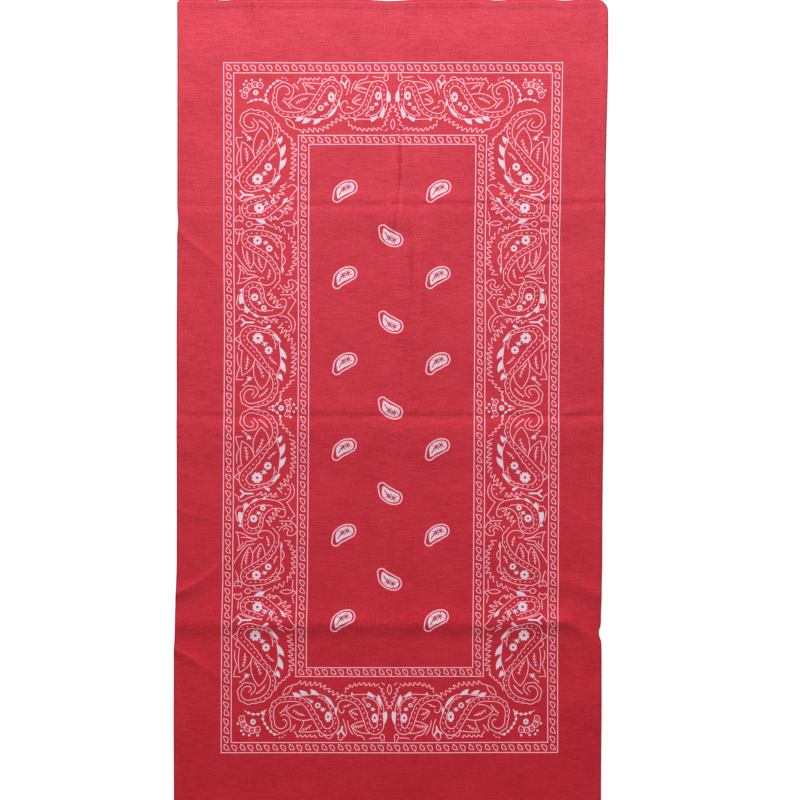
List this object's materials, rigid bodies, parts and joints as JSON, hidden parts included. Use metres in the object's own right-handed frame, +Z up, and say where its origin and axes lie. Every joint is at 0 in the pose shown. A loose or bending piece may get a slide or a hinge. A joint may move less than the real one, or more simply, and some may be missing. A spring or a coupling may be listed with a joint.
{
  "type": "bandana",
  "caption": "Oblong woven cotton bandana laid out flat, paisley printed, with narrow turned hems on all sides and soft fold creases.",
  "frame": {"origin": "centre of the laid cloth's bounding box, on the surface it lies on", "axes": "+X across the cloth, +Y along its length, +Z up off the surface"},
  "size_m": [0.405, 0.7601, 0.0048],
  "materials": {
    "printed_cotton": "matte plain weave",
    "hem_cotton": "matte plain weave, turned and stitched"
  },
  "bodies": {
    "root": {"panel": "printed_cotton", "hem_top": "hem_cotton", "hem_bottom": "hem_cotton", "hem_left": "hem_cotton", "hem_right": "hem_cotton"}
  },
  "joints": []
}
